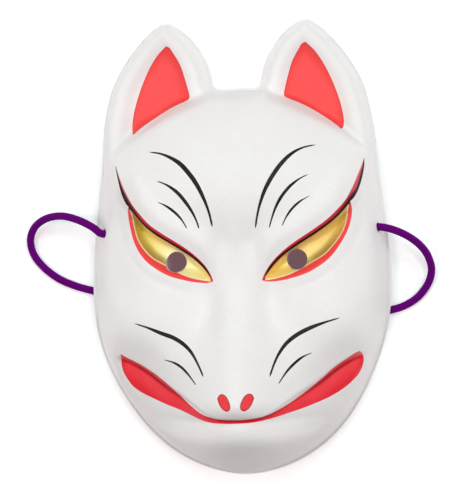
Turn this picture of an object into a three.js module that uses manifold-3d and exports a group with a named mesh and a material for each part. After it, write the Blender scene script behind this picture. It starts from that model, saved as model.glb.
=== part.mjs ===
// A moulded fox mask that lies on its rim, face up, with one loose elastic cord.
// Millimetres. +Z points out of the face, +Y to the ears, +X to the right of someone looking at it.
// The face is a height above the rim's plane, worked out point by point, and the shell hangs below it.
import * as THREE from "three";
import { mergeVertices } from "three/addons/utils/BufferGeometryUtils.js";
import { ConvexHull } from "three/addons/math/ConvexHull.js";
import Module from "manifold-3d";

const wasm = await Module();
wasm.setup();

// Driving dimensions of the shell
const WALL = 1.5; // thickness of the moulded plastic
const FLANGE_WIDTH = 1.2; // the small lip that runs round the rim
const FLANGE_HEIGHT = 1.0;
const RIM_INSET = 2.8; // from the outline to the hollow at the rim
const ARCH_HEIGHT = 7.5; // how far the rim lifts at the temples, over the cord
const SHELF_HEIGHT = 20.0; // the ears, above the rim
const TEMPLE_LIFT = 4.5; // how much higher the temples and the cheeks stand at the side
const EAR_HOLLOW = 4.5;
const WALL_RUN = 10.0; // how far in the side wall has done most of its rise
const TEMPLE_RUN = 5.0; // how much further that is at the temples, where the wall is gentler
const CHIN_RUN = 3.5; // and how much less at the chin, where it is steeper
const DOME_HEIGHT = 50.0; // the broad bulge of the face, without the muzzle
const DOME_RADIUS = 92.0; // to the side and up
const DOME_LENGTH_DOWN = 128.0;
const DOME_CENTRE_Y = -1.5;
const FOREHEAD_STEP = 5.5; // from the forehead's edge down to the ears
const SKEW = 1.2; // eyes and mouth sit this far to one side, as the hand-carved model did
const EYE_END_SKEW = 0.8; // and the outer ends of the eyes a little further
const JAW_LEAN = 1.1; // the rim itself leans a little to the other side, at the jaw and at the ears
const EAR_LEAN = 0.7;

// Driving dimensions of the eyes, the mouth and the cord
const PUPIL_RADIUS = 5.4;
const PUPIL_X = 31.9;
const PUPIL_Y = -7.1;
const TEMPLE_DROP = 9.5; // from the front of the face to its side, outside the eye
const BROW_STEP = 3.0;
const BROW_SWELL = 2.2;
const EYE_FOLD = 0.6;
const SOCKET_DEPTH_INNER = 10.5;
const SOCKET_DEPTH_OUTER = 9.5;
const LIP_GROOVE = 3.0; // under the upper lip, at the middle and further out
const LIP_GROOVE_SIDE = 5.5;
const MOUTH_SINK = 3.6; // how far the cheek falls to the corner of the mouth
const JAW_DROP = 4.0; // the jaw beside the mouth lies lower than the cheek
const CORD_RADIUS = 2.0;
const CORD_SIDES = 10;
const CORD_STEPS = 46;
const CORD_HOLE_RADIUS = 2.6;
const CORD_HOLE_X = 73.8;
const CORD_HOLE_Y = 9.0;
const KNOT_RADIUS = 4.0;
const KNOT_LENGTH = 7.4;
const KNOT_GAP = 1.0; // from the wall to a knot, which is a little slack

// Half of the rim's outline, from the forehead round the ear to the chin
const HALF_RIM = [
  [10.3, 87.6], [12.3, 88.5], [13.2, 90.8], [14, 95], [17, 103.9], [23.1, 113.9], [31.2, 121.5],
  [38.6, 125], [47.5, 119.5], [59.8, 105.8], [69.3, 89.1], [74.3, 68], [75.7, 46], [77.9, 26],
  [80.4, 4], [81.7, -20], [80.6, -40], [77.6, -55], [71.8, -70.3], [63.3, -85.9], [52.1, -100.6],
  [37.5, -113], [19.7, -121.6], [0, -125.2],
];
// Upper lid of the eye, from the corner beside the muzzle, then the painted wing and the forehead's edge
const UPPER_LID = [
  [12.8, -17.6], [14.3, -15.2], [17.9, -10.4], [23.3, -5], [29.3, -0.7], [35.9, 3.4], [42, 7.2],
  [48, 11.7], [53.3, 16.7], [58.5, 22.6],
];
const WING = [[61.8, 29.5], [64.6, 37], [66.8, 46]];
const FOREHEAD_EDGE = [
  [64.8, 50], [59.3, 54.5], [51.4, 60.4], [43.5, 65.6], [34.6, 70.6], [25.7, 74.8], [16.8, 78.2],
  [8, 80.9], [0, 82],
];
const LOWER_LID = [
  [12.8, -17.6], [15.7, -18.4], [22, -18], [29, -16.5], [35.8, -14.4], [42.2, -11], [48, -6.6],
  [52.6, -1], [56.2, 5.5], [58.6, 13], [59.3, 19], [58.5, 22.6],
];
// Height of the middle line of the face along Y, from the chin over the nose to the forehead
const PROFILE = [
  [-126, 6], [-121, 20], [-116, 33.5], [-112, 44.5], [-108, 55], [-104.5, 63.4], [-102, 67.5],
  [-99.5, 69.2], [-96.5, 69.4], [-93, 69], [-90, 68.6], [-87, 73.5], [-84, 76.3], [-80, 77], [-76, 75.3],
  [-70, 72], [-60, 66.5], [-50, 61.5], [-40, 57], [-30, 53], [-20, 50.5], [-10, 49.8], [0, 50.3],
  [10, 52], [20, 53.5], [30, 54], [40, 53], [50, 49.5], [60, 45], [70, 39.5], [78, 32.5], [84, 25],
  [89, 13],
];
// Half width of the muzzle and the forehead along Y
const MUZZLE_WIDTH = [
  [-126, 30], [-100, 30], [-90, 27], [-80, 26], [-60, 25], [-50, 22.5], [-40, 19.5], [-30, 16.5],
  [-20, 14], [-10, 13], [0, 14], [10, 20], [30, 40], [60, 50], [90, 60],
];
// The crease between the lips, as Y over X
const CREASE = [
  [0, -88.7], [12, -88.3], [18, -86], [25, -82.2], [31, -78.9], [37, -75.8], [43, -71.9], [49, -67.3],
  [55, -63.4], [61, -60.8], [68, -58.8],
];
// The cord's route, from the knot in the left hole round to the knot in the right one
const CORD_ROUTE = [
  [-78.5, 12.7, 28.4], [-87, 16.8, 25], [-97.1, 19.2, 19], [-107.2, 17.8, 12.5], [-114.3, 13.1, 7.5],
  [-117.1, 6.7, 4.5], [-116.1, -0.7, 2.8], [-110.8, -8.3, 2.3], [-102.5, -15, 2.3], [-93.2, -19.3, 2.3],
  [-83, -22.4, 2.3], [-64, -27.5, 2.3], [-40, -32, 2.3], [-14, -35.5, 2.3], [14, -38, 2.3],
  [40, -39.2, 2.3], [62, -38.6, 2.3], [80.6, -36.4, 2.3], [88.7, -34, 2.3], [96, -29.4, 2.3],
  [101.4, -22.4, 3.2], [103.4, -15.4, 6], [102.2, -9, 10.5], [98.4, -2.6, 16], [91.6, 3.1, 21.4],
  [83.8, 7, 24.4],
];

const COLOURS = { shell: "#edecea", cord: "#5f0a72", knot: "#56086a" };

// Small mathematics

function clamp01(t) {
  return Math.min(Math.max(t, 0), 1);
}

// A soft step from 0 to 1, level at both ends.
function ease(t) {
  const u = clamp01(t);
  return u * u * u * (u * (6 * u - 15) + 10);
}

function softMin(a, b, radius) {
  const overlap = Math.max(radius - Math.abs(a - b), 0) / radius;
  return Math.min(a, b) - (overlap * overlap * radius) / 4;
}

function softMax(a, b, radius) {
  return -softMin(-a, -b, radius);
}

// A smooth lump of height 1 at (cx, cy), turned by a few degrees.
function lump(x, y, cx, cy, halfWidth, halfLength, degrees = 0) {
  const turn = THREE.MathUtils.degToRad(degrees);
  const across = ((x - cx) * Math.cos(turn) + (y - cy) * Math.sin(turn)) / halfWidth;
  const along = (-(x - cx) * Math.sin(turn) + (y - cy) * Math.cos(turn)) / halfLength;
  return Math.exp(-(across * across + along * along));
}

// The value at t of a smooth curve through rows of [t, value].
function valueAt(rows, t) {
  const last = rows.length - 1;
  const at = Math.min(Math.max(t, rows[0][0]), rows[last][0]);
  let i = 0;
  while (i < last - 1 && rows[i + 1][0] <= at) i += 1;
  const slope = (k) =>
    k === 0 || k === last ? 0 : (rows[k + 1][1] - rows[k - 1][1]) / (rows[k + 1][0] - rows[k - 1][0]);
  const span = rows[i + 1][0] - rows[i][0];
  const s = (at - rows[i][0]) / span;
  const rise = s * s * (3 - 2 * s);
  const leave = s * (1 - s) * (1 - s) * span;
  const arrive = s * s * (s - 1) * span;
  return rows[i][1] * (1 - rise) + rows[i + 1][1] * rise + slope(i) * leave + slope(i + 1) * arrive;
}

// A flat curve through the points, as a list of Vector2 with some steps to each span.
function smoothLine(points, stepsEach) {
  const curve = new THREE.CatmullRomCurve3(points.map(([x, y]) => new THREE.Vector3(x, y, 0)));
  const line = curve.getPoints((points.length - 1) * stepsEach);
  return line.map((p) => new THREE.Vector2(p.x, p.y));
}

function mirrored(line) {
  return line.map((p) => new THREE.Vector2(-p.x, p.y)).reverse();
}

function distanceTo(line, x, y, closed = false) {
  let nearest = Infinity;
  const spans = closed ? line.length : line.length - 1;
  for (let i = 0; i < spans; i += 1) {
    const a = line[i];
    const b = line[(i + 1) % line.length];
    const ex = b.x - a.x;
    const ey = b.y - a.y;
    const t = clamp01(((x - a.x) * ex + (y - a.y) * ey) / (ex * ex + ey * ey || 1));
    nearest = Math.min(nearest, Math.hypot(x - a.x - t * ex, y - a.y - t * ey));
  }
  return nearest;
}

function isInside(line, x, y) {
  let inside = false;
  for (let i = 0, j = line.length - 1; i < line.length; j = i, i += 1) {
    const a = line[i];
    const b = line[j];
    if (a.y > y !== b.y > y && x < a.x + ((y - a.y) / (b.y - a.y)) * (b.x - a.x)) inside = !inside;
  }
  return inside;
}

// Lines of the face

// How far the rim is shifted to the right.
function rimShift(y) {
  return -JAW_LEAN * Math.exp(-(((y + 62) / 28) ** 2)) - EAR_LEAN * ease((y - 48) / 25);
}

const halfRim = smoothLine([...HALF_RIM, [-19.7, -121.6]], 7).slice(0, -7);
const evenRim = [...halfRim, ...mirrored(halfRim.slice(0, -1))];
const outline = evenRim.map((p) => new THREE.Vector2(p.x + rimShift(p.y), p.y));
const upperLid = smoothLine(UPPER_LID, 4);
const lowerLid = smoothLine(LOWER_LID, 4);
const socket = [...upperLid, ...lowerLid.slice(1, -1).reverse()];
const foreheadEdge = smoothLine(FOREHEAD_EDGE, 4);
const browEdge = smoothLine([...UPPER_LID, ...WING, ...FOREHEAD_EDGE], 4);
const belowBrow = [
  ...browEdge,
  new THREE.Vector2(0, 140),
  new THREE.Vector2(120, 140),
  new THREE.Vector2(120, -60),
  new THREE.Vector2(12, -60),
];

// Heights of the face

function arch(y) {
  return ARCH_HEIGHT * ease((y + 68) / 46) * ease((82 - y) / 50);
}

// The steep side wall, over the distance in from the outline.
function sideWall(x, y, inward) {
  const run = Math.max(inward - FLANGE_WIDTH, 0);
  const temple = TEMPLE_RUN * ease((y + 62) / 34) * ease((70 - y) / 40);
  const reach = WALL_RUN + temple - CHIN_RUN * ease((-86 - y) / 14) * (1 - ease(Math.abs(x) / 36));
  return arch(y) * Math.exp(-run / 9) + FLANGE_HEIGHT + 50 * (1 - Math.exp(-run / reach)) + 0.8 * run;
}

// The ears with their hollows, and the temples below them.
function shelf(y, inward) {
  const hollow = EAR_HOLLOW * ease((inward - 8) / 12) * ease((y - 48) / 16);
  return SHELF_HEIGHT + TEMPLE_LIFT * ease((60 - y) / 30) - hollow;
}

// How far the features are shifted to the right, a given way out from the middle of the face.
function skewAt(away, y) {
  return SKEW * ease(away / 20) + EYE_END_SKEW * ease((away - 40) / 18) * ease((y + 5) / 20);
}

function dome(x, y) {
  const length = y > DOME_CENTRE_Y ? DOME_RADIUS : DOME_LENGTH_DOWN;
  const reach = Math.hypot(x / DOME_RADIUS, (y - DOME_CENTRE_Y) / length);
  return DOME_HEIGHT * Math.sqrt(Math.max(1 - reach ** 4, 0) + 1e-4);
}

// The lips: a groove with a steep upper side, and a broad lower lip that rolls up to the jaw.
function mouth(x, y) {
  const slope = valueAt(CREASE, x + 0.5) - valueAt(CREASE, Math.max(x - 0.5, 0));
  const above = (y - valueAt(CREASE, x)) / Math.sqrt(1 + slope * slope);
  const cheek = ease((x - 6) / 34);
  const groove = LIP_GROOVE + (LIP_GROOVE_SIDE - LIP_GROOVE) * cheek;
  const sink = MOUTH_SINK * ease((x - 14) / 40);
  const jaw = JAW_DROP * cheek;
  const corner = 1 - ease((x - 60) / 10);
  if (above > 0) {
    const steepSide = 1 - ease(above / (1.6 + 2.2 * cheek));
    const cheekSide = (1 - ease((above + 3) / 23)) / (1 - ease(3 / 23));
    return -corner * (groove * steepSide + sink * cheekSide);
  }
  const lipWidth = 1.8 + 8.5 * cheek;
  const roll = Math.sin((clamp01(-above / lipWidth) * Math.PI) / 2);
  const below = Math.min(Math.max(-above - lipWidth, 0), 32);
  const jawRoll = jaw * (0.025 * below + 0.002 * Math.max(below - 10, 0) ** 2);
  return corner * ((groove + sink - jaw) * roll - groove - sink - jawRoll);
}

function face(x, y) {
  const middle = valueAt(PROFILE, y) - dome(0, y);
  const across = x / valueAt(MUZZLE_WIDTH, y);
  let z = dome(x, y) + middle * Math.exp(-across * across);
  const side = Math.abs(x) - Math.sign(x) * skewAt(Math.abs(x), y);
  // Valleys beside the muzzle, hollows beside the bridge of the nose, and the cheeks.
  z -= 4.5 * lump(side, y, 17.5, -27, 7.5, 17, -5);
  z -= 1.3 * lump(side, y, 7, 3, 5, 10);
  z += 4.5 * lump(side, y, 50, -40, 19, 19);
  // The temple falls away to the side, with a small step down outside the brow's edge.
  z -= TEMPLE_DROP * ease((side - 44) / 30) * ease((y + 44) / 54) * (1 - ease((y - 5) / 42));
  const fromEdge = distanceTo(browEdge, side, y) * (isInside(belowBrow, side, y) ? 1 : -1);
  z -= BROW_STEP * ease(fromEdge / 4) * ease((side - 30) / 20) * ease((y + 20) / 40);
  const alongEdge = ease((side - 10) / 14) * ease((y - 46) / 14) * (1 - 0.6 * ease((side - 42) / 16));
  z -= FOREHEAD_STEP * ease((fromEdge + 3) / 9) * alongEdge;
  // The brow swells above the upper lid, and a faint fold runs below the lower one.
  const acrossBrow = ease((side - 8) / 10) * (1 - ease((side - 48) / 20));
  const alongBrow = ease((y + 24) / 14) * (1 - ease((y - 30) / 20));
  z += BROW_SWELL * acrossBrow * alongBrow * Math.exp(-(((fromEdge + 8) / 6) ** 2));
  // The eye lies deep under the upper lid and comes up gently to the lower one.
  const fromLowerLid = distanceTo(lowerLid, side, y);
  const inSocket = isInside(socket, side, y);
  if (!inSocket && fromEdge > 0) {
    z -= EYE_FOLD * Math.exp(-(((fromLowerLid - 5.5) / 2.2) ** 2)) * ease((side - 20) / 12);
  }
  if (inSocket) {
    const outer = ease((side - 32) / 26);
    const depth = SOCKET_DEPTH_INNER * (1 - outer) + SOCKET_DEPTH_OUTER * outer;
    z -= depth * ease(distanceTo(upperLid, side, y) / 2.6) * ease(fromLowerLid / 7.5);
  }
  return z + mouth(side, y);
}

function outerHeight(x, y) {
  const inward = isInside(outline, x, y) ? distanceTo(outline, x, y, true) : 0;
  const blend = 3 + 7 * ease((45 - y) / 25);
  return softMin(sideWall(x, y, inward), softMax(face(x, y), shelf(y, inward), blend), 8);
}

// The hollow's ceiling: the highest point that keeps the whole wall's thickness under the face.
function innerHeight(x, y) {
  let lowest = Infinity;
  for (const part of [0, 0.45, 0.75, 0.95]) {
    const reach = part * WALL;
    const turns = part === 0 ? 1 : 12;
    for (let k = 0; k < turns; k += 1) {
      const angle = (2 * Math.PI * k) / turns;
      const z = outerHeight(x + reach * Math.cos(angle), y + reach * Math.sin(angle));
      lowest = Math.min(lowest, z - Math.sqrt(WALL * WALL - reach * reach));
    }
  }
  return lowest;
}

// Meshing

// Positions along a line that are at least some distance apart.
function stations(line, spacing) {
  const chosen = [0];
  line.forEach((p, i) => {
    if (p.distanceTo(line[chosen.at(-1)]) >= spacing) chosen.push(i);
  });
  return chosen;
}

// Stations of a closed line moved inward, without those that come too close to another stretch of it.
function insetLine(line, inset, spacing) {
  const moved = stations(line, spacing).map((i) => {
    const before = line[(i + line.length - 1) % line.length];
    const after = line[(i + 1) % line.length];
    const along = after.clone().sub(before).normalize();
    return new THREE.Vector2(line[i].x + along.y * inset, line[i].y - along.x * inset);
  });
  const isClear = (p) => isInside(line, p.x, p.y) && distanceTo(line, p.x, p.y, true) > 0.93 * inset;
  return moved.filter((p) => inset === 0 || isClear(p));
}

// Keeps the candidates, in order, that are at least some distance from every point kept before.
function addApart(kept, candidates, spacing) {
  for (const p of candidates) {
    if (kept.every((q) => q.distanceTo(p) >= spacing)) kept.push(p);
  }
}

function sideways(line, offset) {
  return line.map((p, i) => {
    const before = line[Math.max(i - 1, 0)];
    const after = line[Math.min(i + 1, line.length - 1)];
    const along = after.clone().sub(before).normalize();
    return new THREE.Vector2(p.x - along.y * offset, p.y + along.x * offset);
  });
}

// Places on a carved line: shifted by the skew to each half of the face.
function onBothSides(line) {
  const shift = (p, sign) => new THREE.Vector2(sign * p.x + skewAt(p.x, p.y), p.y);
  return line.flatMap((p) => [shift(p, 1), shift(p, -1)]);
}

// A staggered field of points inside a line, each a little off its place so that no four share a circle.
function field(line, spacing) {
  const points = [];
  const rowStep = spacing * Math.sqrt(0.75);
  for (let row = -82; row <= 82; row += 1) {
    for (let column = -60; column <= 60; column += 1) {
      const x = spacing * (column + (row % 2 === 0 ? 0 : 0.5)) + 0.11 * Math.sin(7 * row + 3 * column);
      const y = rowStep * row + 0.11 * Math.sin(5 * row - 11 * column);
      if (isInside(line, x, y)) points.push(new THREE.Vector2(x, y));
    }
  }
  return points;
}

// Triangles over flat points: the underside of the hull of the points lifted onto a bowl.
function triangulate(points, border) {
  const lifted = points.map((p) => new THREE.Vector3(p.x, p.y, (p.x * p.x + p.y * p.y) / 200));
  const index = new Map(lifted.map((p, i) => [p, i]));
  const triangles = [];
  for (const side of new ConvexHull().setFromPoints(lifted).faces) {
    if (side.normal.z >= 0) continue;
    const corners = [side.edge.tail(), side.edge.head(), side.edge.next.head()];
    const [a, b, c] = corners.map((vertex) => index.get(vertex.point));
    const middle = points[a].clone().add(points[b]).add(points[c]).divideScalar(3);
    if (isInside(border, middle.x, middle.y)) triangles.push([a, c, b]);
  }
  return triangles;
}

// A closed body over flat triangles, between a height for the top and one for the bottom.
function bodyBetween(points, triangles, top, bottom) {
  const count = points.length;
  const upper = points.map((p) => [p.x, p.y, top(p)]);
  const lower = points.map((p) => [p.x, p.y, bottom(p)]);
  const faces = [];
  const edges = new Set(triangles.flatMap(([a, b, c]) => [`${a} ${b}`, `${b} ${c}`, `${c} ${a}`]));
  for (const [a, b, c] of triangles) faces.push([a, b, c], [c + count, b + count, a + count]);
  for (const edge of edges) {
    const [a, b] = edge.split(" ").map(Number);
    if (!edges.has(`${b} ${a}`)) faces.push([b, a, a + count], [b, a + count, b + count]);
  }
  const geometry = new THREE.BufferGeometry();
  geometry.setAttribute("position", new THREE.Float32BufferAttribute([...upper, ...lower].flat(), 3));
  geometry.setIndex(faces.flat());
  return geometry;
}

function solidOf(geometry) {
  const bare = geometry.clone();
  bare.deleteAttribute("normal");
  bare.deleteAttribute("uv");
  const merged = mergeVertices(bare, 1e-4);
  return new wasm.Manifold(
    new wasm.Mesh({
      numProp: 3,
      vertProperties: new Float32Array(merged.attributes.position.array),
      triVerts: new Uint32Array(merged.index.array),
    }),
  );
}

function geometryOf(solid) {
  const mesh = solid.getMesh();
  const geometry = new THREE.BufferGeometry();
  geometry.setAttribute("position", new THREE.BufferAttribute(mesh.vertProperties, mesh.numProp));
  geometry.setIndex(new THREE.BufferAttribute(mesh.triVerts, 1));
  geometry.computeVertexNormals();
  return geometry;
}

// The shell

const CARVED_SPACING = 2.5;
const OPEN_SPACING = 6.4;
// Rows of corners along the rim: how far in, and how far apart
const RIM_ROWS = [[0, 3.4], [FLANGE_WIDTH, 3.4], [RIM_INSET, 3.4], [5, 3.4], [8.5, 5], [12.5, 5.6]];

function creaseLine() {
  const xs = Array.from({ length: 19 }, (_, i) => 3.7 * i);
  return xs.map((x) => new THREE.Vector2(x, valueAt(CREASE, x)));
}

// Places for the shell's corners: rows along the rim, then dense along the lids, the brow and the lips.
function shellPoints() {
  const kept = [];
  for (const [inset, spacing] of RIM_ROWS) {
    addApart(kept, insetLine(outline, inset, spacing), 1.1);
  }
  const crease = creaseLine();
  const carved = [
    [upperLid, 0], [crease, 0], [browEdge, 0], [lowerLid, 0], [upperLid, -2.6], [crease, 3.4],
    [crease, -3.4], [browEdge, -2.8], [foreheadEdge, 2.2], [lowerLid, 3.5], [crease, -9],
  ];
  for (const [middle, offset] of carved) {
    const line = sideways(middle, offset);
    const places = onBothSides(line).filter((p) => isInside(outline, p.x, p.y));
    addApart(kept, places, CARVED_SPACING);
  }
  addApart(kept, field(outline, OPEN_SPACING), 0.68 * OPEN_SPACING);
  return kept;
}

// The point of one side wall that has the cord's hole, and the wall's outward direction there.
function holePlace(sign) {
  const x = sign * CORD_HOLE_X + SKEW;
  const point = new THREE.Vector3(x, CORD_HOLE_Y, outerHeight(x, CORD_HOLE_Y));
  const fall = outerHeight(x - 0.4, CORD_HOLE_Y) - outerHeight(x + 0.4, CORD_HOLE_Y);
  const outward = new THREE.Vector3(fall / 0.8, 0, 1).normalize();
  return { point, outward };
}

function placed(geometry, position, direction) {
  const turn = new THREE.Quaternion().setFromUnitVectors(new THREE.Vector3(0, 1, 0), direction);
  return geometry.applyQuaternion(turn).translate(position.x, position.y, position.z);
}

const holes = { left: holePlace(-1), right: holePlace(1) };

function shellGeometry() {
  const points = shellPoints();
  const heights = new Map(points.map((p) => [p, [outerHeight(p.x, p.y), innerHeight(p.x, p.y)]]));
  const triangles = triangulate(points, outline);
  const insets = points.map((p) => distanceTo(outline, p.x, p.y, true));
  const hollow = triangles.filter((corners) => corners.every((i) => insets[i] > RIM_INSET - 0.25));
  const full = { top: (p) => heights.get(p)[0], bottom: (p) => arch(p.y) };
  const inner = { top: (p) => heights.get(p)[1], bottom: () => -10 };
  const outerBody = bodyBetween(points, triangles, full.top, full.bottom);
  const innerBody = bodyBetween(points, hollow, inner.top, inner.bottom);
  let shell = solidOf(outerBody).subtract(solidOf(innerBody));
  for (const sign of [-1, 1]) {
    const pupil = new THREE.CylinderGeometry(PUPIL_RADIUS, PUPIL_RADIUS, 60, 24).rotateX(Math.PI / 2);
    shell = shell.subtract(solidOf(pupil.translate(sign * PUPIL_X, PUPIL_Y, 35)));
  }
  for (const { point, outward } of Object.values(holes)) {
    const drill = new THREE.CylinderGeometry(CORD_HOLE_RADIUS, CORD_HOLE_RADIUS, 12, 12);
    shell = shell.subtract(solidOf(placed(drill, point, outward)));
  }
  return geometryOf(shell);
}

// The cord and its knots

// A point on a hole's axis, some way out from the wall's surface.
function onHoleAxis(hole, out) {
  return hole.point.clone().addScaledVector(hole.outward, out);
}

function cordGeometry() {
  const route = [
    onHoleAxis(holes.left, -WALL),
    onHoleAxis(holes.left, 1.5),
    ...CORD_ROUTE.map(([x, y, z]) => new THREE.Vector3(x, y, z)),
    onHoleAxis(holes.right, 1.5),
    onHoleAxis(holes.right, -WALL),
  ];
  const section = new THREE.Shape().absarc(0, 0, CORD_RADIUS, 0, 2 * Math.PI);
  return new THREE.ExtrudeGeometry(section, {
    extrudePath: new THREE.CatmullRomCurve3(route),
    steps: CORD_STEPS,
    curveSegments: CORD_SIDES / 2,
    bevelEnabled: false,
  });
}

// One knot: a round bead with a waist, on the hole's axis inside the wall.
function knotGeometry(hole) {
  const half = KNOT_LENGTH / 2;
  const profile = [new THREE.Vector2(0, -half)];
  for (let i = 1; i < 9; i += 1) {
    const angle = -Math.PI / 2 + (Math.PI * i) / 9;
    const waist = 1 - 0.12 * Math.cos(angle) ** 6;
    profile.push(new THREE.Vector2(KNOT_RADIUS * waist * Math.cos(angle) ** 0.7, half * Math.sin(angle)));
  }
  profile.push(new THREE.Vector2(0, half));
  const middle = onHoleAxis(hole, -WALL - KNOT_GAP - half);
  return placed(new THREE.LatheGeometry(profile, 12), middle, hole.outward);
}

function piece(name, geometry, colour, roughness) {
  const material = new THREE.MeshStandardMaterial({ color: colour, roughness, metalness: 0 });
  const mesh = new THREE.Mesh(geometry, material);
  mesh.name = name;
  return mesh;
}

const mask = new THREE.Group();
mask.add(piece("mask_shell", shellGeometry(), COLOURS.shell, 0.45));
mask.add(piece("cord", cordGeometry(), COLOURS.cord, 0.9));
mask.add(piece("cord_knot_left", knotGeometry(holes.left), COLOURS.knot, 0.9));
mask.add(piece("cord_knot_right", knotGeometry(holes.right), COLOURS.knot, 0.9));

export default mask;
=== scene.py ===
import math

import bmesh
import bpy
import numpy as np
from mathutils import Matrix, Vector
from mathutils.geometry import delaunay_2d_cdt
from mathutils.kdtree import KDTree


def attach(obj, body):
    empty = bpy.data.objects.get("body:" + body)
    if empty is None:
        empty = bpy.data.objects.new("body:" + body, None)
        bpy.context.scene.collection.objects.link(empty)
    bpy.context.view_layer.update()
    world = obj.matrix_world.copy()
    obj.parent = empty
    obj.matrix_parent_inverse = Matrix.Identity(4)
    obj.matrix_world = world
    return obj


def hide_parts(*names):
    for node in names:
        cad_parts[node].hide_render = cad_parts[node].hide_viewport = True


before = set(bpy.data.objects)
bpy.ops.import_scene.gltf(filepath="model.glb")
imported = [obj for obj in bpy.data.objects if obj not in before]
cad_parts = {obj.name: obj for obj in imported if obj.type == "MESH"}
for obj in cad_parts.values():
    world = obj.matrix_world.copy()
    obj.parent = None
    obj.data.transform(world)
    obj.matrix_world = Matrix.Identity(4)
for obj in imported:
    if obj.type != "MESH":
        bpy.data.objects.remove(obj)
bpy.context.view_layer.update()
scene = bpy.context.scene
MM = 0.001

# Dimensions of the shell, as in the solids
WALL = 1.5
FLANGE_WIDTH = 1.2
FLANGE_HEIGHT = 1.0
RIM_INSET = 2.8  # from the outline to the hollow at the rim
ARCH_HEIGHT = 7.5  # how far the rim lifts at the temples
ARCH_FADE = 9.0
SHELF_HEIGHT = 20.0  # the ears, above the rim
TEMPLE_LIFT = 4.5
EAR_HOLLOW = 4.5
WALL_RISE = 50.0
WALL_SLOPE = 0.8
WALL_RUN = 10.0  # how far in the side wall has done most of its rise
TEMPLE_RUN = 5.0
CHIN_RUN = 3.5
DOME_HEIGHT = 50.0
DOME_RADIUS = 92.0
DOME_LENGTH_DOWN = 128.0
DOME_CENTRE_Y = -1.5
FOREHEAD_STEP = 5.5
SKEW = 1.2
EYE_END_SKEW = 0.8
JAW_LEAN = 1.1
EAR_LEAN = 0.7

# Dimensions of the eyes, the mouth and the cord. The lips are a little shallower than the solids'.
PUPIL_RADIUS = 5.4
PUPIL_X = 31.9
PUPIL_Y = -7.1
TEMPLE_DROP = 9.5
BROW_STEP = 3.0
BROW_SWELL = 2.2
EYE_FOLD = 0.6
SOCKET_DEPTH_INNER = 10.5
SOCKET_DEPTH_OUTER = 9.5
LID_EDGE = 1.7  # how soon the socket is deep under the upper lid
LIP_GROOVE = 3.0  # under the upper lip, at the middle and further out
LIP_GROOVE_SIDE = 4.8
LIP_EDGE = 1.6
LIP_EDGE_WIDENING = 2.2
LIP_WIDTH = 1.8
LIP_WIDENING = 8.5
MOUTH_SINK = 3.0  # how far the cheek falls to the corner of the mouth
JAW_DROP = 4.0
JAW_ROLL = 0.025
JAW_CURL = 0.002
CORD_RADIUS = 2.0
CORD_HOLE_RADIUS = 2.6
CORD_HOLE_X = 73.8
CORD_HOLE_Y = 9.0
KNOT_GAP = 1.0
KNOT_LENGTH = 7.4
KNOT_SPREAD = 0.85  # size of the knot's loops, where 1 is 3 mm from its middle
KNOT_DEPTH = 1.15
KNOT_STRAND_RADIUS = 1.35  # the cord is squeezed in the knot
CUT_END_LENGTH = 3.6

# Finer relief that only this mesh has
NOSTRIL_DEPTH = 0.8
NOSTRIL_SLOPE = 2.2
PANEL_DEPTH = 0.25
PANEL_SLOPE = 0.9
RIM_ROUNDING = 0.35
WING_BULGE = 1.0  # how much wider the painted wing of the right eyelid is
PAINT_SHIFT = 0.38  # how far the ears' panels and the nostrils sit to one side

# Spacing of the mesh's points
GRID = 0.6
PAINT_SPACING = 0.8
RIM_SPACING = 1.15
INNER_RIM_SPACING = 2.0
PUPIL_POINTS = 48
CORD_HOLE_POINTS = 24
CORD_POINTS_ROUND = 36
CORD_RING_SPACING = 0.32
KNOT_POINTS_ROUND = 18

# Soft rises and hollows of each half of the face: height, middle, half sizes, turn in degrees
RISES = [
    (-4.5, 17.5, -27, 7.5, 17, -5),  # hollow beside the muzzle
    (-1.3, 7, 3, 5, 10, 0),  # hollow beside the root of the nose
    (4.5, 50, -40, 19, 19, 0),  # cheek
]

# Half of the rim's outline, from the forehead round the ear to the chin
HALF_RIM = [
    (10.3, 87.6), (12.3, 88.5), (13.2, 90.8), (14, 95), (17, 103.9), (23.1, 113.9), (31.2, 121.5),
    (38.6, 125), (47.5, 119.5), (59.8, 105.8), (69.3, 89.1), (74.3, 68), (75.7, 46), (77.9, 26),
    (80.4, 4), (81.7, -20), (80.6, -40), (77.6, -55), (71.8, -70.3), (63.3, -85.9), (52.1, -100.6),
    (37.5, -113), (19.7, -121.6), (0, -125.2),
]
# Upper lid from the corner beside the muzzle, then the painted wing and the forehead's edge
UPPER_LID = [
    (12.8, -17.6), (14.3, -15.2), (17.9, -10.4), (23.3, -5), (29.3, -0.7), (35.9, 3.4), (42, 7.2),
    (48, 11.7), (53.3, 16.7), (58.5, 22.6),
]
WING = [(61.8, 29.5), (64.6, 37), (66.8, 46)]
FOREHEAD_EDGE = [
    (64.8, 50), (59.3, 54.5), (51.4, 60.4), (43.5, 65.6), (34.6, 70.6), (25.7, 74.8), (16.8, 78.2),
    (8, 80.9), (0, 82),
]
LOWER_LID = [
    (12.8, -17.6), (15.7, -18.4), (22, -18), (29, -16.5), (35.8, -14.4), (42.2, -11), (48, -6.6),
    (52.6, -1), (56.2, 5.5), (58.6, 13), (59.3, 19), (58.5, 22.6),
]
# Down the middle of the face: y and height
PROFILE = [
    (-126, 6), (-121, 20), (-116, 33.5), (-112, 44.5), (-108, 55), (-104.5, 63.4), (-102, 67.5),
    (-99.5, 69.2), (-96.5, 69.4), (-93, 69), (-90, 68.6), (-87, 73.5), (-84, 76.3), (-80, 77),
    (-76, 75.3), (-70, 72), (-60, 66.5), (-50, 61.5), (-40, 57), (-30, 53), (-20, 50.5), (-10, 49.8),
    (0, 50.3), (10, 52), (20, 53.5), (30, 54), (40, 53), (50, 49.5), (60, 45), (70, 39.5), (78, 32.5),
    (84, 25), (89, 13),
]
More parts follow.
